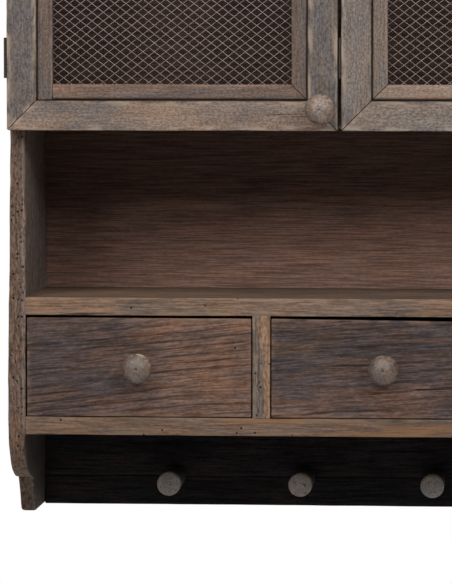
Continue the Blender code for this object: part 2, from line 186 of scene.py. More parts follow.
# Knobs and pegs
TURNED_SEGMENTS = 40
TURNED_UNEVENNESS = 0.012
TURNED_NOISE_SCALE = 80.0
SEAT_GAP = 0.0003
AXIS_RADIUS = 0.0001
KNOB_DOME_RADIUS = 0.0149
KNOB_DOME_START = 0.0178
KNOB_DOME_RISE = 0.0119
KNOB_DOME_ANGLE = 84.0
KNOB_DOME_STEPS = 13
# How far the knobs' pale rim reaches over the dome; it is wear and a painted highlight
KNOB_WEAR_AND_HIGHLIGHT_STEPS = 7
# Painted shade on the lower left of each knob
KNOB_LOWER_SHADE = 0.50
# How pale each knob's rim is, most at the upper right: wear and a painted highlight
DRAWER_KNOB_WEAR_AND_HIGHLIGHT = {1: 1.3, 2: 0.4, 3: 0.8, 4: 0.6}
DOOR_KNOB_WEAR_AND_HIGHLIGHT = 0.7
KNOB_RIM_WEAR_AND_SHEEN = 0.55
DIMPLE_GRIME = 0.5
DIMPLE_SHARE = 0.10
PEG_COUNT = 6
PEG_BASE_RADIUS = 0.010
PEG_STEPS = 5
PEG_ROUND = 0.0020
# Painted shade on the pegs' shafts, darker towards the rail
PEG_SHADE = 0.8
PEG_LIT_LENGTH = 0.004
PEG_SHADE_REACH = 0.012

body_of_node = {
    node: body for body, nodes in frame["record"]["behaviour"]["bodies"].items() for node in nodes
}
carcass_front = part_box("niche_shelf")[0].y
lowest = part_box("left_side")[0].z


# Shader helpers

def add_node(tree, kind, inputs, **settings):
    made = tree.nodes.new(kind)
    for name, value in settings.items():
        setattr(made, name, value)
    for name, value in inputs.items():
        socket = made.inputs[name]
        if isinstance(value, bpy.types.NodeSocket):
            tree.links.new(value, socket)
        else:
            socket.default_value = value
    return made


def attribute(tree, name, output):
    return add_node(tree, "ShaderNodeAttribute", {}, attribute_name=name).outputs[output]


def noise_value(tree, vector, scale, detail=2.0, roughness=0.5, shift=0.0):
    """A noise stretched along the grain; scale is in repeats a metre along, across and across."""
    inputs = {"Vector": vector, "Scale": scale, "Location": (shift, shift, shift)}
    mapped = add_node(tree, "ShaderNodeMapping", inputs).outputs["Vector"]
    inputs = {"Vector": mapped, "Scale": 1.0, "Detail": detail, "Roughness": roughness}
    return add_node(tree, "ShaderNodeTexNoise", inputs).outputs["Fac"]


def remap(tree, value, start, stop, low, high):
    inputs = {"Value": value, "From Min": start, "From Max": stop, "To Min": low, "To Max": high}
    return add_node(tree, "ShaderNodeMapRange", inputs, interpolation_type="SMOOTHSTEP").outputs["Result"]


def maths(tree, operation, first, second):
    made = add_node(tree, "ShaderNodeMath", {0: first, 1: second}, operation=operation)
    return made.outputs["Value"]


def blend_colour(tree, factor, first, second, mode="MIX"):
    made = tree.nodes.new("ShaderNodeMix")
    made.data_type = "RGBA"
    made.blend_type = mode
    for socket, value in ((made.inputs[0], factor), (made.inputs[6], first), (made.inputs[7], second)):
        if isinstance(value, bpy.types.NodeSocket):
            tree.links.new(value, socket)
        elif isinstance(value, tuple):
            socket.default_value = (*value, 1.0)
        else:
            socket.default_value = value
    return made.outputs[2]


def grey(tree, value):
    inputs = {"Red": value, "Green": value, "Blue": value}
    return add_node(tree, "ShaderNodeCombineColor", inputs).outputs["Color"]


# Materials

def wood_material(
    name, cool, warm, streak, worn, growth=0.5, streaks=0.6, wear=0.7, holes=0.0, mottle=0.5, fibres=1.0,
    sway=1.0, hue=0.3, rings=0.0, cracks=0.32, threads=(30.0, 640.0), flecks=(180.0, 420.0), rough=0.74,
    specular=0.08, clouds=1.0, bump=0.7,
):
    """Weathered wood whose growth lines, fibres, stains and cracks follow the mesh's grain attribute."""
    material = bpy.data.materials.new(name)
    material.use_nodes = True
    tree = material.node_tree
    shader = tree.nodes["Principled BSDF"]
    grain = attribute(tree, "grain", "Vector")
    bent = bend_grain(tree, grain, (3.0, 9.0, 9.0), 0.020 * sway)
    bent = bend_grain(tree, bent, (24.0, 60.0, 60.0), 0.0032 * sway)

    lines = noise_value(tree, bent, (5.0, 150.0, 150.0), detail=3.0, roughness=0.60)
    fibre = noise_value(tree, bent, (threads[0], threads[1], threads[1]), detail=3.0, roughness=0.70)
    tint = noise_value(tree, bent, (18.0, 75.0, 75.0), detail=3.0, roughness=0.6, shift=9.1)
    fleck = noise_value(tree, grain, (flecks[0], flecks[1], flecks[1]), detail=3.0, roughness=0.7, shift=2.3)
    stain = noise_value(tree, grain, (7.0, 20.0, 20.0), detail=4.0, roughness=0.62, shift=3.1)
    orange = noise_value(tree, bent, (6.0, 120.0, 120.0), detail=3.0, roughness=0.6, shift=7.7)
    rubbed = noise_value(tree, bent, (40.0, 180.0, 180.0), detail=3.0, shift=1.9)
    split = noise_value(tree, bent, (5.0, 300.0, 300.0), detail=1.0, shift=5.3)

    if clouds < 1.0:
        stain = remap(tree, stain, 0.0, 1.0, 0.5 - 0.5 * clouds, 0.5 + 0.5 * clouds)
    toned = maths(tree, "ADD", stain, attribute(tree, "tone", "Fac"))
    colour = blend_colour(tree, remap(tree, toned, 0.36, 0.66, 0.0, 1.0), cool, warm)
    blue = (1.0 - 0.20 * hue, 1.0 - 0.02 * hue, 1.0 + 0.20 * hue)
    rust = (1.0 + 0.20 * hue, 1.0 - 0.03 * hue, 1.0 - 0.24 * hue)
    tinted = blend_colour(tree, remap(tree, tint, 0.38, 0.62, 0.0, 1.0), blue, rust)
    colour = blend_colour(tree, 1.0, colour, tinted, "MULTIPLY")
    line_shade = remap(tree, lines, 0.32, 0.50, 1.0 - 0.66 * growth, 1.0 + 0.14 * growth)
    fibre_shade = remap(tree, fibre, 0.36, 0.64, 1.0 - 0.44 * fibres, 1.0 + 0.42 * fibres)
    fleck_shade = remap(tree, fleck, 0.36, 0.64, 1.0 - 0.54 * mottle, 1.0 + 0.54 * mottle)
    shade = maths(tree, "MULTIPLY", maths(tree, "MULTIPLY", line_shade, fibre_shade), fleck_shade)
    if rings:
        shade = maths(tree, "MULTIPLY", shade, ring_lines(tree, bent, rings))
    colour = blend_colour(tree, 1.0, colour, grey(tree, shade), "MULTIPLY")
    colour = blend_colour(tree, remap(tree, orange, 0.57, 0.72, 0.0, streaks), colour, streak)
    # Worn edges turn pale; on the knobs' rims this also paints a highlight
    edge = maths(tree, "MULTIPLY", attribute(tree, "wear", "Fac"), remap(tree, rubbed, 0.44, 0.62, 0.0, wear))
    colour = blend_colour(tree, edge, colour, worn)
    dark = remap(tree, split, cracks - 0.06, cracks, 0.22, 1.0)
    if holes:
        dark = maths(tree, "MULTIPLY", dark, worm_holes(tree, grain, holes))
    # Grime darkens the colour: in some pieces it is dirt, in others it is painted shade.
    clean_and_lit = remap(tree, attribute(tree, "grime_and_shade", "Fac"), 0.0, 1.0, 1.0, 0.05)
    dark = maths(tree, "MULTIPLY", dark, clean_and_lit)
    colour = blend_colour(tree, 1.0, colour, grey(tree, dark), "MULTIPLY")
    tree.links.new(colour, shader.inputs["Base Color"])
    tree.links.new(remap(tree, fibre, 0.3, 0.7, rough + 0.10, rough - 0.10), shader.inputs["Roughness"])

    relief = maths(tree, "ADD", maths(tree, "MULTIPLY", fibre, 0.5), maths(tree, "MULTIPLY", lines, 0.5))
    relief = maths(tree, "ADD", relief, maths(tree, "MULTIPLY", fleck, 0.4 * mottle))
    relief = maths(tree, "MULTIPLY", relief, dark)
    inputs = {"Height": relief, "Strength": bump, "Distance": 0.0014}
    bump = add_node(tree, "ShaderNodeBump", inputs).outputs["Normal"]
    tree.links.new(bump, shader.inputs["Normal"])
    shader.inputs["Specular IOR Level"].default_value = specular
    return material


def bend_grain(tree, vector, scale, amount):
    """The grain coordinates pushed sideways by a slow noise, so that lines wander."""
    mapped = add_node(tree, "ShaderNodeMapping", {"Vector": vector, "Scale": scale}).outputs["Vector"]
    bend = add_node(tree, "ShaderNodeTexNoise", {"Vector": mapped, "Scale": 1.0}).outputs["Color"]
    inputs = {0: bend, 1: (0.0, amount, amount), 2: vector}
    return add_node(tree, "ShaderNodeVectorMath", inputs, operation="MULTIPLY_ADD").outputs["Vector"]


def ring_lines(tree, bent, strength):
    """A factor with thin dark growth lines at even steps across the grain, which come and go along it."""
    inputs = {0: bent, 1: RING_DIRECTION}
    across = add_node(tree, "ShaderNodeVectorMath", inputs, operation="DOT_PRODUCT").outputs["Value"]
    wave = maths(tree, "SINE", maths(tree, "MULTIPLY", across, 2 * math.pi / RING_PITCH), 0.0)
    present = noise_value(tree, bent, (9.0, 60.0, 60.0), detail=3.0, shift=6.2)
    line = remap(tree, wave, 0.45, 1.0, 0.0, strength)
    depth = maths(tree, "MULTIPLY", line, remap(tree, present, 0.40, 0.58, 0.0, 1.0))
    return maths(tree, "SUBTRACT", 1.0, depth)


def worm_holes(tree, grain, share):
    """A factor that is dark in small round holes, which come in groups."""
    inputs = {"Vector": grain, "Scale": HOLE_CELLS, "Randomness": 1.0}
    cells = add_node(tree, "ShaderNodeTexVoronoi", inputs)
    draws = add_node(tree, "ShaderNodeSeparateColor", {"Color": cells.outputs["Color"]}).outputs
    size = remap(tree, draws["Green"], 0.0, 1.0, 0.45, 1.10)
    pit = remap(tree, maths(tree, "DIVIDE", cells.outputs["Distance"], size), 0.19, 0.29, 0.10, 1.0)
    groups = noise_value(tree, grain, (14.0, 30.0, 30.0), detail=1.0, shift=4.4)
    limit = remap(tree, groups, 0.40, 0.58, 0.0, share)
    spared = maths(tree, "GREATER_THAN", draws["Red"], limit)
    return maths(tree, "MAXIMUM", pit, spared)


def metal_material(name, colour, tarnish, metallic, rough, specular=0.5):
    """Dull metal with patches of tarnish."""
    material = bpy.data.materials.new(name)
    material.use_nodes = True
    tree = material.node_tree
    shader = tree.nodes["Principled BSDF"]
    place = add_node(tree, "ShaderNodeTexCoord", {}).outputs["Object"]
    patches = noise_value(tree, place, (260.0, 260.0, 260.0), detail=4.0, roughness=0.65)
    tree.links.new(
        blend_colour(tree, remap(tree, patches, 0.40, 0.66, 0.0, 1.0), colour, tarnish),
        shader.inputs["Base Color"],
    )
    tree.links.new(remap(tree, patches, 0.3, 0.7, rough - 0.1, rough + 0.2), shader.inputs["Roughness"])
    shader.inputs["Metallic"].default_value = metallic
    shader.inputs["Specular IOR Level"].default_value = specular
    bump = add_node(tree, "ShaderNodeBump", {"Height": patches, "Strength": 0.3, "Distance": 0.0002})
    tree.links.new(bump.outputs["Normal"], shader.inputs["Normal"])
    return material


# Meshes

def wander(seed, row, place, period):
    """A smooth random value from -1 to 1 along a board's edge; seed and row choose which one."""
    return noise.noise(Vector((place / period, 11.3 * seed + 0.37, 5.7 * row + 0.21)))


def flat_shares(length, band):
    """Where the points between two corners lie, as shares of that side."""
    if length < 3 * band:
        return [0.5]
    count = max(1, round((length - 2 * band) / FACE_STEP))
    return [(band + (length - 2 * band) * number / count) / length for number in range(count + 1)]


def section(span, radii, shares):
    """One cross-section of a board: rounded corners with wear 1 and flats with wear 0."""
    v_low, v_high, w_low, w_high = span
    corners = (
        (v_low, w_low, 1, 1, 180),
        (v_high, w_low, -1, 1, 270),
        (v_high, w_high, -1, -1, 0),
        (v_low, w_high, 1, -1, 90),
    )
    arcs = []
    for (v, w, in_v, in_w, start), radius in zip(corners, radii):
        angles = [math.radians(start + 90 * step / ARC_STEPS) for step in range(ARC_STEPS + 1)]
        centre = (v + in_v * radius, w + in_w * radius)
        arcs.append([(centre[0] + radius * math.cos(a), centre[1] + radius * math.sin(a)) for a in angles])
    points = []
    for number, arc in enumerate(arcs):
        points += [(v, w, 1.0) for v, w in arc]
        begin = arc[-1]
        end = arcs[(number + 1) % 4][0]
        for share in shares[number % 2]:
            v = begin[0] + (end[0] - begin[0]) * share
            w = begin[1] + (end[1] - begin[1]) * share
            points.append((v, w, 0.0))
    return points


def board_rows(length, end_round, band, marks):
    """Stations along a board as (place, inset, wear): a cap, a rounded end, the run, and the same again."""
    angles = [math.pi / 2 * number / END_STEPS for number in range(END_STEPS + 1)]
    start = [(0.0, end_round + 0.5 * band, 0.0)]
    start += [(end_round * (1 - math.cos(a)), end_round * (1 - math.sin(a)), 1.0) for a in angles]
    first = end_round + band
    count = max(1, round((length - 2 * first) / ALONG_STEP))
    places = [first + (length - 2 * first) * number / count for number in range(count + 1)]
    places = sorted(set(places) | {mark for mark in marks if first < mark < length - first})
    finish = [(length - place, inset, wear) for place, inset, wear in reversed(start)]
    return start + [(place, 0.0, 0.0) for place in places] + finish


def board_shell(
    low, high, along, seed, edge, wobble=0.0003, end_round=0.0010, span_at=None, marks=(), mitre=None,
):
    """A worn board lofted along one axis, as (points, faces, wear).

    edge holds the smallest and the largest radius of its long edges. span_at gives the cross-section's
    limits at a place along the board, and marks are further places for a row. mitre is (axis, outer edge,
    inward, cuts)."""
    v_axis = (along + 1) % 3
    w_axis = (along + 2) % 3
    sizes = (high[v_axis] - low[v_axis], high[w_axis] - low[w_axis])
    band = min(EDGE_BAND, 0.3 * min(sizes))
    end_round = min(end_round, 0.2 * min(sizes))
    shares = (flat_shares(sizes[0], band), flat_shares(sizes[1], band))
    length = high[along] - low[along]
    points = []
    wear = []
    rings = []
    for place, inset, row_wear in board_rows(length, end_round, band, marks):
        span = span_at(place) if span_at else (low[v_axis], high[v_axis], low[w_axis], high[w_axis])
        rub = []
        for side in range(4):
            slow = wander(seed, side, place, WOBBLE_PERIOD)
            quick = wander(seed, side + 20, place, WOBBLE_PERIOD / 3)
            fine = wander(seed, side + 40, place, WOBBLE_PERIOD / 7)
            rub.append(inset + wobble * max(0.0, 0.5 + 0.5 * slow + 0.4 * quick + 0.3 * fine))
        span = (span[0] + rub[0], span[1] - rub[1], span[2] + rub[2], span[3] - rub[3])
        limit = 0.45 * min(span[1] - span[0], span[3] - span[2])
        radii = []
        for corner in range(4):
            share = 0.5 + 0.5 * wander(seed, corner + 5, place, EDGE_PERIOD)
            radii.append(min(limit, edge[0] + (edge[1] - edge[0]) * share * share))
        ring = []
        for v, w, point_wear in section(span, radii, shares):
            point = [0.0, 0.0, 0.0]
            point[along] = low[along] + place
            point[v_axis] = v
            point[w_axis] = w
            if mitre:
                axis, outer, inward, cuts = mitre
                across = (point[axis] - outer) * inward
                head = cuts[0] * (across + MITRE_GAP)
                tail = cuts[1] * (across + MITRE_GAP)
                point[along] = low[along] + head + place * (length - head - tail) / length
            ring.append(len(points))
            points.append(point)
            wear.append(max(point_wear, row_wear) if inset <= end_round else 0.0)
        rings.append(ring)
    return points, loft_faces(rings), wear


def loft_faces(rings):
    """Quads between closed rings, with a cap on the first and the last."""
    faces = [list(reversed(rings[0])), list(rings[-1])]
    for ring, following in zip(rings, rings[1:]):
        for number in range(len(ring)):
            after = (number + 1) % len(ring)
            faces.append([ring[number], ring[after], following[after], following[number]])
    return faces


def turned_shell(centre_x, centre_z, seat_y, profile, seed):
    """A shape turned about an axis to the front; profile has radius, distance from the seat and wear."""
    points = []
    wear = []
    rings = []
    for radius, distance, ring_wear in profile:
        ring = []
        for number in range(TURNED_SEGMENTS):
            angle = 2 * math.pi * number / TURNED_SEGMENTS
            x = math.cos(angle)
            z = math.sin(angle)
            spot = TURNED_NOISE_SCALE * Vector((radius * x, radius * z, distance)) + Vector((0, 0, 9 * seed))
            swell = radius * (1 + TURNED_UNEVENNESS * noise.noise(spot))
            ring.append(len(points))
            points.append([centre_x + swell * x, seat_y - distance, centre_z + swell * z])
            wear.append(ring_wear)
        rings.append(ring)
    return points, loft_faces(rings), wear


def net_shell(low, high):
    """A woven diamond net: two families of slanting wires that pass over and under each other."""
    points = []
    faces = []
    middle = (low.y + high.y) / 2
    rows = int((high.z - low.z) / (NET_PITCH_Z / 2))
    columns = int((high.x - low.x) / NET_PITCH_X) + rows
    for slope in (1, -1):
        for wire in range(-columns, columns + 1):
            rings = []
            for step in range(rows + 1):
                x = low.x + wire * NET_PITCH_X + slope * step * NET_PITCH_X / 2
                z = low.z + step * NET_PITCH_Z / 2
                if not low.x <= x <= high.x:
                    continue
                weave = NET_WEAVE * slope * (1 if step % 2 else -1)
                ring = []
                for across, depth in ((1, 0), (0, 1), (-1, 0), (0, -1)):
                    ring.append(len(points))
                    side = NET_WIRE_RADIUS * across
                    y = middle + weave + NET_WIRE_RADIUS * depth
                    points.append([x + ACROSS_WIRE[0] * side, y, z - slope * ACROSS_WIRE[1] * side])
                rings.append(ring)
            if len(rings) > 1:
                faces += loft_faces(rings)
    return points, faces, [0.0] * len(points)


piece_count = 0


def make_piece(
    name, shells, material, nodes, along=0, tone=(0.0, 0.0), rise=0.0, tilt=0.0, grime_and_shade=None, shade=None,
):
    """One piece from closed shells, with the attributes that its material reads, in place of its CAD nodes.

    along is the grain's axis, or one axis for each shell. tone goes from its first value to its second along
    the grain, and changes by rise from bottom to top; shade gives what is added to it at each point. tilt
    turns the grain by some degrees, and grime_and_shade gives the dirt and the painted shade at each point."""
    global piece_count
    piece_count += 1
    points = []
    faces = []
    wear = []
    grains = []
    ways = [along] * len(shells) if isinstance(along, int) else along
    for (shell_points, shell_faces, shell_wear), way in zip(shells, ways):
        base = len(points)
        points += shell_points
        faces += [[corner + base for corner in face] for face in shell_faces]
        wear += shell_wear
        grains.append(np.array(shell_points, np.float32)[:, [way, (way + 1) % 3, (way + 2) % 3]])
    mesh = bpy.data.meshes.new(name)
    mesh.from_pydata(points, [], faces)
    mesh.validate()
    co = np.array(points, np.float32)
    grain = np.concatenate(grains)
    run = grain[:, 0]
    share = (run - run.min()) / np.ptp(run)
    lift = (co[:, 2] - co[:, 2].min()) / np.ptp(co[:, 2])
    turn = math.radians(tilt)
    grain = np.stack(
        [
            grain[:, 0] * math.cos(turn) + grain[:, 2] * math.sin(turn),
            grain[:, 1],
            grain[:, 2] * math.cos(turn) - grain[:, 0] * math.sin(turn),
        ],
        axis=1,
    )
    grain += np.array(GRAIN_STEP) * piece_count
    dirt_and_shade = np.zeros(len(points)) if grime_and_shade is None else grime_and_shade(co)
    store(mesh, "grain", "FLOAT_VECTOR", "vector", grain)
    store(mesh, "wear", "FLOAT", "value", np.array(wear))
    warmth = tone[0] + (tone[1] - tone[0]) * share + rise * lift
    if shade:
        warmth += shade(co)
    store(mesh, "tone", "FLOAT", "value", warmth)
    store(mesh, "grime_and_shade", "FLOAT", "value", dirt_and_shade)
    mesh.shade_smooth()
    mesh.set_sharp_from_angle(angle=math.radians(SHARP_ANGLE))
    mesh.materials.append(material)
    piece = bpy.data.objects.new(name, mesh)
    bpy.context.scene.collection.objects.link(piece)
    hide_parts(*nodes)
    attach(piece, body_of_node[nodes[0]])


def store(mesh, name, kind, field, values):
    """A named value for each point of a mesh, which its material reads."""
    layer = mesh.attributes.new(name, kind, "POINT")
    layer.data.foreach_set(field, np.asarray(values, np.float32).ravel())


# Pieces

def make_board(
    node, material, along, seed, edge, wobble=0.0003, tone=(0.0, 0.0), bite=(), grime_and_shade=None, shade=None,
):
    """A board in place of a node; on the axes in bite it reaches a little into the boards that hold it."""
    low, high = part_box(node)
    for axis in bite:
        low[axis] -= JOINT_BITE
        high[axis] += JOINT_BITE
    shell = board_shell(low, high, along, seed, edge, wobble)
    make_piece(f"{node}_wood", [shell], material, [node], along, tone, grime_and_shade=grime_and_shade, shade=shade)


def back_values(co, rear, inside, niche):
    """A value for each point of the back panel: on its rear, inside the cabinet, in the niche or below."""
    behind = co[:, 1] > np.mean(co[:, 1])
    above = co[:, 2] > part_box("cabinet_floor")[0].z
    return np.where(behind, rear, np.where(above, inside, niche))


def back_dirt_and_shade(co):
    """Grime on the rear of the back panel, and painted shade on it inside the cabinet."""
    return back_values(co, REAR_GRIME, INSIDE_SHADE, 0.0)


def back_tone_and_light(co):
    """Tone of the back panel, which in the niche paints light at the bottom and shade at the top."""
    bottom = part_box("niche_shelf")[1].z
    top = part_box("cabinet_floor")[0].z
    share = np.clip((co[:, 2] - bottom) / (top - bottom), 0, 1)
    return back_values(co, REAR_TONE, INSIDE_TONE, NICHE_LIGHT_AND_SHADE * (1 - 2 * share))


def shelf_top_darkening(co):
    """Darkening on top of the niche shelf: painted shade in the corner at the back, and a darker band just
    behind the front edge.
    """
    low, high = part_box("niche_shelf")
    on_top = co[:, 2] > (low.z + high.z) / 2
    from_front = co[:, 1] - low.y
    back = SHELF_BACK_SHADE * np.clip(1 - (high.y - co[:, 1]) / SHELF_BACK_REACH, 0, 1)
    front = SHELF_FRONT_DARKENING * np.clip(1 - from_front / SHELF_FRONT_REACH, 0, 1)
    return np.where(on_top & (from_front > SHELF_FRONT_START), np.maximum(back, front), 0.0)


def smoky_all_over(co):
    """Grime of the board under the drawers."""
    return np.full(len(co), LOWER_GRIME)


def warm_right(co):
    """Tone of the drawer dividers, which are grey at the left and orange at the right."""
    return 0.5 * (co[:, 0] - co[:, 0].min()) / np.ptp(co[:, 0]) - 0.2


def make_side(node, material, seed):
    """A side board with its shaped foot, painted shade under the drawers, and an inner face that is cooler
    and paler, partly in its own colour and partly as painted light.
    """
    low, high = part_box(node)
    inner = high.x if low.x < 0 else low.x

    def span_at(height):
        recess = 0.0
        curve_bottom = FOOT_CURVE_TOP - FOOT_CURVE_HEIGHT
        if height < curve_bottom:
            recess = FOOT_CURVE_DEPTH + FOOT_LEG_LEAN * (1 - height / curve_bottom)
        elif height < FOOT_CURVE_TOP:
            drop = (FOOT_CURVE_TOP - height) / FOOT_CURVE_HEIGHT
            recess = FOOT_CURVE_DEPTH * (1 - math.sqrt(max(0.0, 1 - drop * drop)))
        swell = SIDE_SWELL * math.exp(-(((height - SWELL_HEIGHT) / SWELL_REACH) ** 2))
        if low.x < 0:
            return low.x - swell, high.x, low.y + recess, high.y
        return low.x, high.x + swell, low.y + recess, high.y

    angles = [math.pi / 2 * number / FOOT_CURVE_STEPS for number in range(FOOT_CURVE_STEPS + 1)]
    marks = [FOOT_CURVE_TOP - FOOT_CURVE_HEIGHT * math.sin(angle) for angle in angles]
    shell = board_shell(
        low, high, 2, seed, edge=(0.0010, 0.0040), wobble=0.0010, end_round=0.0030, span_at=span_at,
        marks=marks,
    )

    def near_inner(co):
        return np.clip(1 - np.abs(co[:, 0] - inner) / INNER_FACE_REACH, 0, 1)

    # Painted shade under the drawers, on the inner face and towards the bottom of the foot
    def grime_and_shade(co):
        under = co[:, 2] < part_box("drawer_floor")[0].z
        foot = np.clip(1.15 - (co[:, 2] - low.z) / FOOT_CURVE_TOP, 0, 1)
        return np.where(under, np.maximum(FOOT_INNER_SHADE * near_inner(co), FOOT_SHADE * foot), 0.0)

    # A cooler, paler inner face: partly its own colour, partly painted light
    def shade(co):
        return -INNER_COOLNESS_AND_LIGHT * near_inner(co)

    make_piece(f"{node}_wood", [shell], material, [node], 2, tone=(0.25, 0.25), grime_and_shade=grime_and_shade, shade=shade)


def make_member(door, name, wood, bead_wood, seed, butt_left, tone):
    """A frame member and its bead strip, both cut to the mitre unless the bead butts at the left."""
    node = f"{door}_{name}"
    low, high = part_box(node)
    upright = name.endswith("stile")
    along = 2 if upright else 0
    axis = 0 if upright else 2
    at_low = name in ("left_stile", "bottom_rail")
    outer = low[axis] if at_low else high[axis]
    inward = 1 if at_low else -1
    stock_low = Vector(low)
    stock_high = Vector(high)
    bead_low = Vector(low)
    bead_high = Vector(high)
    split = outer + inward * MEMBER_WIDTH
    bead_start = split + inward * BEAD_GROOVE
    if at_low:
        stock_high[axis] = split
        bead_low[axis] = bead_start
    else:
        stock_low[axis] = split
        bead_high[axis] = bead_start
    bead_low.y = low.y + BEAD_RECESS
    bead_high.y = bead_low.y + BEAD_THICKNESS
    cuts = (1, 1)
    if butt_left and name == "left_stile":
        bead_low.z += MEMBER_WIDTH + BEAD_GROOVE
        bead_high.z -= MEMBER_WIDTH + BEAD_GROOVE
        cuts = (0, 0)
    elif butt_left and not upright:
        bead_low.x += high[axis] - low[axis]
        cuts = (0, 1)
    stock = board_shell(
        stock_low, stock_high, along, seed, edge=(0.0008, 0.0024), wobble=0.0004, end_round=0.0004,
        mitre=(axis, outer, inward, (1, 1)),
    )
    bead = board_shell(
        bead_low, bead_high, along, seed + 50, edge=(0.0005, 0.0013), wobble=0.0003, end_round=0.0003,
        mitre=(axis, outer, inward, cuts),
    )

    def grime_and_shade(co):
        gap = np.abs(co[:, axis] - bead_start)
        return (0.65 if upright else 1.0) * np.clip(1 - gap / GRIME_REACH, 0, 1)

    bead_tone = (tone[0] + BEAD_TONE, tone[1] + BEAD_TONE)
    make_piece(f"{node}_wood", [stock], wood, [node], along, tone=tone, grime_and_shade=grime_and_shade)
    make_piece(f"{node}_bead", [bead], bead_wood, [node], along, tone=bead_tone, grime_and_shade=grime_and_shade)


def knob_profile():
    """Radius, distance from the seat and pale rim, which is wear and a painted highlight, from the foot to
    the dimple in the crown, in metres.
    """
    foot = [(AXIS_RADIUS, SEAT_GAP, 0.0), (0.0104, SEAT_GAP, 0.0), (0.0103, 0.0016, 0.0)]
    neck = [(0.0086, 0.0032, 0.0), (0.0075, 0.0060, 0.0), (0.0075, 0.0090, 0.0)]
    neck += [(0.0086, 0.0115, 0.0), (0.0118, 0.0136, 0.0)]
    rim = [(0.0140, 0.0153, 0.5), (0.0147, 0.0166, 1.0)]
    dome = []
    for number in range(KNOB_DOME_STEPS):
        angle = math.radians(KNOB_DOME_ANGLE * number / (KNOB_DOME_STEPS - 1))
        wear = max(0.0, 1.0 - number / KNOB_WEAR_AND_HIGHLIGHT_STEPS)
        height = KNOB_DOME_START + KNOB_DOME_RISE * math.sin(angle)
        dome.append((KNOB_DOME_RADIUS * math.cos(angle), height, wear))
    dimple = [(0.0011, 0.0293, 0.0), (0.0007, 0.0287, 0.0), (AXIS_RADIUS, 0.0285, 0.0)]
    return foot + neck + rim + dome + dimple


def make_knob(node, material, seed, tone, rub):
    """A turned knob, pale on its rim, most at the upper right, as wear and a painted highlight, with painted
    shade at the lower left and dirt in the dimple.
    """
    low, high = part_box(node)
    centre_x = (low.x + high.x) / 2
    centre_z = (low.z + high.z) / 2
    radius = (high.x - low.x) / 2
    points, faces, rim_wear_and_highlight = turned_shell(centre_x, centre_z, high.y + SEAT_GAP, knob_profile(), seed)
    wear = []
    # A pale rim all round and most at the upper right: wear and a painted highlight
    for (x, y, z), rim in zip(points, rim_wear_and_highlight):
        across = (x - centre_x) / radius
        up = (z - centre_z) / radius
        wear.append(max(rim * rub * min(1.0, 1.4 * up + 0.7 * across - 0.50), KNOB_RIM_WEAR_AND_SHEEN * rim ** 3))

    def grime_and_shade(co):
        across = (co[:, 0] - centre_x) / radius
        up = (co[:, 2] - centre_z) / radius
        # Painted shade at the lower left; the dimple holds dirt
        below = KNOB_LOWER_SHADE * np.clip(-0.65 * across - 0.75 * up, 0, 1)
        dimple = np.where(np.hypot(across, up) < DIMPLE_SHARE, DIMPLE_GRIME, 0.0)
        return np.maximum(below, dimple)

    shell = (points, faces, wear)
    make_piece(f"{node}_wood", [shell], material, [node], along=1, tone=(tone, tone), grime_and_shade=grime_and_shade)


def make_peg(node, material, seed):
    """A peg that widens to its worn, rounded end, with painted shade that gets darker towards the rail."""
    low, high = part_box(node)
    rail_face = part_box("peg_rail")[0].y
    length = rail_face - low.y
    tip = (high.x - low.x) / 2
    profile = [(AXIS_RADIUS, SEAT_GAP, 0.0), (PEG_BASE_RADIUS, SEAT_GAP, 0.0)]
    for number in range(1, PEG_STEPS + 1):
        share = number / PEG_STEPS
        radius = PEG_BASE_RADIUS + (tip - PEG_BASE_RADIUS) * share
        profile.append((radius, SEAT_GAP + (length - SEAT_GAP - PEG_ROUND) * share, 0.0))
    profile += [(tip - 0.0004, length - 0.0010, 1.0), (tip - 0.0012, length - 0.0003, 1.0)]
    profile += [(tip - 0.0024, length, 0.5)]
    profile += [(0.0055, length - 0.0002, 0.0), (AXIS_RADIUS, length - 0.0002, 0.0)]
    shell = turned_shell((low.x + high.x) / 2, (low.z + high.z) / 2, rail_face, profile, seed)

    # Painted shade along the shaft, darker towards the rail
    def grime_and_shade(co):
        return PEG_SHADE * np.clip((co[:, 1] - low.y - PEG_LIT_LENGTH) / PEG_SHADE_REACH, 0, 1)

    make_piece(f"{node}_wood", [shell], material, [node], along=1, grime_and_shade=grime_and_shade)


def make_rail(node, material, seed):
    """The peg rail, of two boards one above the other."""
    low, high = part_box(node)
    low.x -= JOINT_BITE
    high.x += JOINT_BITE
    seam = low.z + RAIL_SEAM
    lower = board_shell(low, Vector((high.x, high.y, seam)), 0, seed, edge=(0.0006, 0.0018))
    upper = board_shell(Vector((low.x, low.y, seam)), high, 0, seed + 1, edge=(0.0006, 0.0014))
    make_piece(f"{node}_wood", [lower, upper], material, [node])


def make_front(number, material, seed):
    """A drawer's front, whose top edge drops a little to the right, as hand-fitted ones do."""
    node = f"drawer_{number}_front"
    low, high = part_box(node)
    left_tone, right_tone, rise = FRONT_TONES[number]

    def span_at(place):
        return low.y, high.y, low.z, high.z - FRONT_DROPS[number] * place / (high.x - low.x)

    shell = board_shell(low, high, 0, seed, edge=(0.0006, 0.0016), span_at=span_at)
    tone = (left_tone, right_tone)
    make_piece(f"{node}_wood", [shell], material, [node], tone=tone, rise=rise, tilt=FRONT_TILTS[number])


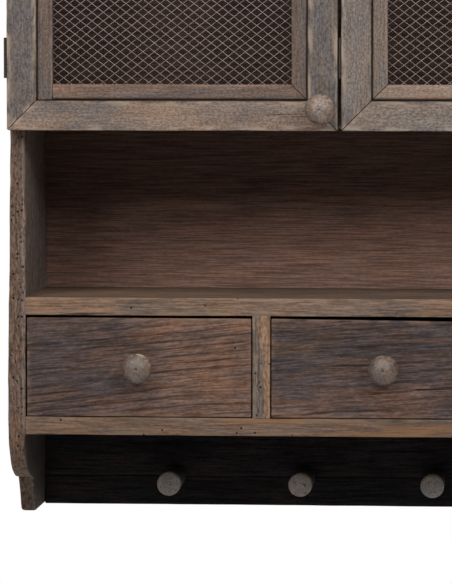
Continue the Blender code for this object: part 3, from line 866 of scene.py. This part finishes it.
def make_tray(node, material, seed):
    """A drawer's box of five boards: two sides, the inner front, the back and the bottom."""
    low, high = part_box(node)
    inset = TRAY_WALL + TRAY_GAP
    inner_low = Vector((low.x + inset, low.y + inset, low.z))
    inner_high = Vector((high.x - inset, high.y - inset, low.z + TRAY_WALL))
    boards = (
        (low, Vector((low.x + TRAY_WALL, high.y, high.z)), 1),
        (Vector((high.x - TRAY_WALL, low.y, low.z)), high, 1),
        (Vector((inner_low.x, low.y, low.z)), Vector((inner_high.x, low.y + TRAY_WALL, high.z)), 0),
        (Vector((inner_low.x, high.y - TRAY_WALL, low.z)), Vector((inner_high.x, high.y, high.z)), 0),
        (inner_low, inner_high, 0),
    )
    shells = [
        board_shell(board_low, board_high, along, seed + number, edge=(0.0004, 0.0010), wobble=0.0002)
        for number, (board_low, board_high, along) in enumerate(boards)
    ]
    grain_axes = [along for board_low, board_high, along in boards]
    make_piece(f"{node}_wood", shells, material, [node], grain_axes)


def make_net(door, material):
    """A door's net, which runs a little behind the beads on all four sides."""
    net_low, net_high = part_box(f"{door}_net")
    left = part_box(f"{door}_left_stile")[1].x - NET_BEHIND_BEAD
    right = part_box(f"{door}_right_stile")[0].x + NET_BEHIND_BEAD
    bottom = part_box(f"{door}_bottom_rail")[1].z - NET_BEHIND_BEAD
    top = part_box(f"{door}_top_rail")[0].z + NET_BEHIND_BEAD
    shell = net_shell(Vector((left, net_low.y, bottom)), Vector((right, net_high.y, top)))
    make_piece(f"{door}_wire_net", [shell], material, [f"{door}_net"])


# Stage

def aim(item, target):
    item.rotation_euler = (Vector(target) - item.location).to_track_quat("-Z", "Y").to_euler()


def make_camera():
    data = bpy.data.cameras.new("camera")
    data.lens = LENS_MM
    data.clip_end = 50.0
    camera = bpy.data.objects.new("camera", data)
    camera.location = (CAMERA_X, carcass_front - CAMERA_DISTANCE, lowest + CAMERA_HEIGHT)
    bpy.context.scene.collection.objects.link(camera)
    aim(camera, (AIM_X, carcass_front, lowest + AIM_HEIGHT))
    bpy.context.scene.camera = camera


def make_lamp(name, place, target, size, power):
    data = bpy.data.lights.new(name, "AREA")
    data.shape = "SQUARE"
    data.size = size
    data.energy = power
    lamp = bpy.data.objects.new(name, data)
    lamp.location = place
    bpy.context.scene.collection.objects.link(lamp)
    aim(lamp, target)


def make_world():
    """A dim world for light, which the camera, reflections and clear things see as white."""
    world = bpy.data.worlds.new("studio")
    bpy.context.scene.world = world
    world.use_nodes = True
    tree = world.node_tree
    background = tree.nodes["Background"]
    path = tree.nodes.new("ShaderNodeLightPath")
    seen = maths(tree, "MAXIMUM", path.outputs["Is Camera Ray"], path.outputs["Is Glossy Ray"])
    seen = maths(tree, "MAXIMUM", seen, path.outputs["Is Transmission Ray"])
    strength = remap(tree, seen, 0.0, 1.0, WORLD_STRENGTH, 1.0)
    background.inputs["Color"].default_value = (1.0, 1.0, 1.0, 1.0)
    tree.links.new(strength, background.inputs["Strength"])


def make_floor():
    """A pale floor that keeps the shadow and fades to white towards its edge."""
    mesh = bpy.data.meshes.new("floor")
    half = FLOOR_SIZE / 2
    corners = [(-half, -half, 0), (half, -half, 0), (half, half, 0), (-half, half, 0)]
    mesh.from_pydata(corners, [], [(0, 1, 2, 3)])
    floor = bpy.data.objects.new("floor", mesh)
    floor.location = (0.0, carcass_front, lowest - FLOOR_DROP)
    bpy.context.scene.collection.objects.link(floor)
    pale = bpy.data.materials.new("pale_floor")
    pale.use_nodes = True
    tree = pale.node_tree
    shader = tree.nodes["Principled BSDF"]
    shader.inputs["Base Color"].default_value = FLOOR_COLOUR
    shader.inputs["Roughness"].default_value = 0.9
    place = add_node(tree, "ShaderNodeTexCoord", {}).outputs["Object"]
    distance = add_node(tree, "ShaderNodeVectorMath", {0: place}, operation="LENGTH").outputs["Value"]
    seen = tree.nodes.new("ShaderNodeLightPath").outputs["Is Camera Ray"]
    fade = maths(tree, "MULTIPLY", remap(tree, distance, *FLOOR_FADE, 0.0, 1.0), seen)
    white = add_node(tree, "ShaderNodeEmission", {"Strength": 1.0}).outputs["Emission"]
    inputs = {0: fade, 1: shader.outputs["BSDF"], 2: white}
    faded = add_node(tree, "ShaderNodeMixShader", inputs).outputs["Shader"]
    tree.links.new(faded, tree.nodes["Material Output"].inputs["Surface"])
    mesh.materials.append(pale)


def make_lamps():
    """Three lamps in front, aimed at what the camera sees, and three for the sides and the rear."""
    lit = Vector((LIT_X, carcass_front, lowest + LIT_HEIGHT))
    for name, azimuth, elevation, size, power in (
        ("key", KEY_AZIMUTH, KEY_ELEVATION, KEY_SIZE, KEY_POWER),
        ("fill", FILL_AZIMUTH, KEY_ELEVATION, KEY_SIZE, FILL_POWER),
        ("top", 0.0, TOP_ELEVATION, SIDE_SIZE, TOP_POWER),
    ):
        turn = math.radians(azimuth)
        rise = math.radians(elevation)
        towards = Vector((math.sin(turn) * math.cos(rise), -math.cos(turn) * math.cos(rise), math.sin(rise)))
        make_lamp(name, lit + KEY_DISTANCE * towards, lit, size, power)
    middle = (0.0, 0.0, lowest + MIDDLE_HEIGHT)
    x, y, height = SIDE_PLACE
    make_lamp("left", (-x, y, lowest + height), middle, SIDE_SIZE, SIDE_POWER)
    make_lamp("right", (x, y, lowest + height), middle, SIDE_SIZE, SIDE_POWER)
    x, y, height = BACK_PLACE
    make_lamp("back", (x, y, lowest + height), middle, SIDE_SIZE, BACK_POWER)


# Palettes: the cool and the warm colour, the streaks and the worn edges

door_wood = wood_material(
    "door_wood", (0.106, 0.089, 0.081), (0.204, 0.145, 0.111), (0.255, 0.148, 0.084), (0.310, 0.234, 0.176),
    growth=0.08, streaks=0.30, wear=0.85, mottle=0.60, fibres=0.32, sway=0.7, hue=0.22, cracks=0.24,
    flecks=(330.0, 560.0),
)
bead_wood = wood_material(
    "bead_wood", (0.104, 0.078, 0.066), (0.200, 0.128, 0.098), (0.240, 0.124, 0.067), (0.250, 0.178, 0.130),
    growth=0.10, streaks=0.35, wear=0.4, mottle=0.50, fibres=0.42, sway=0.6, cracks=0.24,
    flecks=(330.0, 560.0),
)
grey_door_wood = wood_material(
    "grey_door_wood",
    (0.118, 0.099, 0.091), (0.163, 0.131, 0.112), (0.225, 0.146, 0.093), (0.300, 0.236, 0.186),
    growth=0.08, streaks=0.25, wear=0.85, mottle=0.60, fibres=0.32, sway=0.7, hue=0.22, cracks=0.24,
    flecks=(330.0, 560.0),
)
grey_bead_wood = wood_material(
    "grey_bead_wood",
    (0.138, 0.110, 0.094), (0.196, 0.147, 0.121), (0.235, 0.140, 0.085), (0.260, 0.192, 0.146),
    growth=0.10, streaks=0.30, wear=0.4, mottle=0.50, fibres=0.42, sway=0.6, cracks=0.24,
    flecks=(330.0, 560.0),
)
carcass_wood = wood_material(
    "carcass_wood", (0.132, 0.101, 0.085), (0.104, 0.066, 0.047), (0.185, 0.096, 0.052), (0.175, 0.124, 0.10),
    growth=0.20, streaks=0.35, wear=0.5, holes=1.0, mottle=0.8, fibres=0.60, sway=0.7, cracks=0.29,
)
shelf_wood = wood_material(
    "shelf_wood", (0.102, 0.077, 0.062), (0.165, 0.106, 0.074), (0.270, 0.136, 0.062), (0.225, 0.150, 0.098),
    growth=0.25, streaks=0.65, holes=0.08, mottle=0.25, fibres=0.75, sway=0.5,
)
post_wood = wood_material(
    "post_wood", (0.105, 0.082, 0.068), (0.215, 0.125, 0.074), (0.290, 0.140, 0.058), (0.270, 0.200, 0.150),
    growth=0.20, streaks=0.4, wear=0.5, holes=0.3, mottle=0.6, fibres=0.65, sway=0.7, cracks=0.30,
)
drawer_wood = wood_material(
    "drawer_wood", (0.061, 0.044, 0.040), (0.130, 0.077, 0.056), (0.170, 0.080, 0.044), (0.165, 0.102, 0.073),
    growth=0.25, streaks=0.45, wear=0.7, holes=0.04, mottle=0.35, fibres=0.85, hue=0.4, rings=0.50,
    cracks=0.27,
)
back_wood = wood_material(
    "back_wood", (0.096, 0.056, 0.042), (0.172, 0.099, 0.075), (0.180, 0.092, 0.068), (0.120, 0.075, 0.055),
    growth=0.05, streaks=0.15, wear=0.3, mottle=0.2, fibres=0.85, sway=0.25, hue=0.15, cracks=0.22,
    threads=(20.0, 820.0), clouds=0.25,
)
# The peg rail's near-black colour paints in the shadow under the drawer floor
rail_wood = wood_material(
    "rail_wood",
    (0.0075, 0.0069, 0.0069), (0.0125, 0.0098, 0.0095), (0.0160, 0.0100, 0.0085), (0.0180, 0.0150, 0.0140),
    growth=0.6, streaks=0.3, wear=0.3, sway=0.5, rough=0.82, specular=0.05,
)
# The knobs' worn colour is also the colour of the highlight painted on their rims
knob_wood = wood_material(
    "knob_wood", (0.092, 0.064, 0.049), (0.160, 0.111, 0.085), (0.210, 0.128, 0.078), (0.480, 0.385, 0.260),
    growth=0.45, streaks=0.40, wear=0.70, mottle=0.65, fibres=0.45, rough=0.44, specular=0.45, bump=0.28,
)
peg_wood = wood_material(
    "peg_wood", (0.090, 0.079, 0.070), (0.130, 0.113, 0.100), (0.130, 0.104, 0.084), (0.150, 0.135, 0.119),
    growth=0.25, streaks=0.3, mottle=0.3, fibres=0.40,
)
tray_wood = wood_material(
    "tray_wood", (0.190, 0.132, 0.086), (0.300, 0.205, 0.128), (0.330, 0.200, 0.105), (0.360, 0.260, 0.170),
    growth=0.5, streaks=0.4, wear=0.3,
)
wire_metal = metal_material(
    "wire_metal", (0.335, 0.285, 0.265), (0.185, 0.143, 0.122), metallic=0.35, rough=0.50,
)
hinge_metal = metal_material(
    "hinge_metal", (0.030, 0.026, 0.023), (0.048, 0.033, 0.025), metallic=0.0, rough=0.75, specular=0.15,
)

# The wood of each door's frame and of its bead strips
door_woods = {1: (door_wood, bead_wood), 2: (grey_door_wood, grey_bead_wood), 3: (door_wood, bead_wood)}

bpy.context.scene.view_settings.view_transform = "Standard"
make_camera()
make_world()
make_floor()
make_lamps()

# Carcass; the grain runs along axis 0 in level boards and along axis 2 in upright ones
make_side("left_side", carcass_wood, seed=1)
make_side("right_side", carcass_wood, seed=2)
make_board("top_board", carcass_wood, 0, seed=3, edge=(0.0010, 0.0035), wobble=0.0008, tone=(0.10, 0.10))
make_board("partition", carcass_wood, 2, seed=4, edge=(0.0008, 0.0025))
make_board("cabinet_floor", shelf_wood, 0, seed=5, edge=(0.0008, 0.0020), bite=(0,))
make_board(
    "niche_shelf", shelf_wood, 0, seed=6, edge=(0.0006, 0.0024), tone=(0.14, -0.20), bite=(0,),
    grime_and_shade=shelf_top_darkening,
)
make_board(
    "drawer_floor", shelf_wood, 0, seed=7, edge=(0.0006, 0.0024), tone=(0.24, -0.24), bite=(0,),
    grime_and_shade=smoky_all_over,
)
# The back panel's tone rises from left to right: partly its own colour, partly painted light, which makes the
# niche's back paler at the right and darker at the left, where the left side board shades it
make_board(
    "back_panel", back_wood, 0, seed=8, edge=(0.0003, 0.0005), tone=(-0.08, 0.25), bite=(0, 2),
    grime_and_shade=back_dirt_and_shade, shade=back_tone_and_light,
)
make_rail("peg_rail", rail_wood, seed=60)
for number in range(1, len(FRONT_TONES)):
    make_board(
        f"drawer_divider_{number}", post_wood, 2, seed=9 + number, edge=(0.0006, 0.0018), bite=(2,),
        shade=warm_right,
    )

# Drawers, doors and pegs
for number in FRONT_TONES:
    make_front(number, drawer_wood, seed=20 + number)
    make_tray(f"drawer_{number}_tray", tray_wood, seed=30 + 5 * number)
    make_knob(f"drawer_{number}_knob", knob_wood, seed=number, tone=-0.22, rub=DRAWER_KNOB_WEAR_AND_HIGHLIGHT[number])
for number, tones in MEMBER_TONES.items():
    door = f"door_{number}"
    wood, strip_wood = door_woods[number]
    for place, (member, tone) in enumerate(tones.items()):
        seed = 100 + 10 * number + place
        make_member(door, member, wood, strip_wood, seed, butt_left=number == 1, tone=tone)
    make_net(door, wire_metal)
    make_knob(f"{door}_knob", knob_wood, seed=10 + number, tone=0.18, rub=DOOR_KNOB_WEAR_AND_HIGHLIGHT)
    for level in ("lower", "upper"):
        for leaf in ("frame", "door"):
            hinge = frame["nodes"][f"{door}_{level}_hinge_{leaf}_leaf"]
            hinge.data.materials.clear()
            hinge.data.materials.append(hinge_metal)
for number in range(1, PEG_COUNT + 1):
    make_peg(f"peg_{number}", peg_wood, seed=20 + number)
